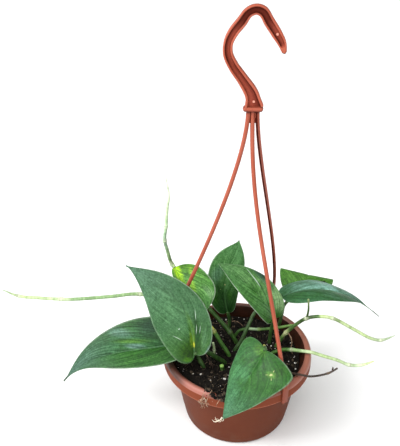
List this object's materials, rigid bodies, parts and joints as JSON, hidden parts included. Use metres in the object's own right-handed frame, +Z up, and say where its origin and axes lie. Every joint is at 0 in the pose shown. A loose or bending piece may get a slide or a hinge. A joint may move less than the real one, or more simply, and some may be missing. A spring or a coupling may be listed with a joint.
{
  "type": "potted scindapsus officinalis in a hanging pot",
  "caption": "Trailing aroid house plant with large pointed heart-shaped leaves and bare runners, rooted in dark soil in a round plastic hanging pot with a hooked hanger.",
  "frame": {"origin": "middle of the underside of the pot's floor", "axes": "+Z up along the pot's axis to the hook, +X to the right and +Y to the back as the picture shows the plant"},
  "size_m": [0.3841, 0.1961, 0.4123],
  "materials": {
    "leaf_dark": "living leaf, dark green, waxy and softly glossy",
    "leaf_blue": "living leaf, blue-green, waxy",
    "leaf_bright": "living leaf, bright green, thin and satin",
    "stem_green": "living stem, green to pale yellow-green, smooth",
    "stem_pale": "young runner, pale green, smooth",
    "stem_dry": "dead stem, dark brown, dry",
    "pot_plastic": "moulded terracotta-red plastic, satin",
    "hanger_plastic": "moulded orange-red plastic, satin",
    "soil": "damp peat with fibres and white grains"
  },
  "bodies": {
    "root": {"leaf_front_left": "leaf_dark", "leaf_left": "leaf_dark", "leaf_upright": "leaf_dark", "leaf_centre_right": "leaf_dark", "leaf_far_right": "leaf_blue", "leaf_back": "leaf_bright", "leaf_front": "leaf_dark", "runner_up": "stem_green", "runner_left": "stem_pale", "runner_back": "stem_green", "runner_low": "stem_pale", "runner_right": "stem_green", "shoot_pale": "stem_pale", "stub_cut": "stem_green", "stub_yellow": "stem_pale", "stem_thin": "stem_dry", "twig_dry": "stem_dry", "pot": "pot_plastic", "soil": "soil", "hanger": "hanger_plastic"}
  },
  "joints": []
}
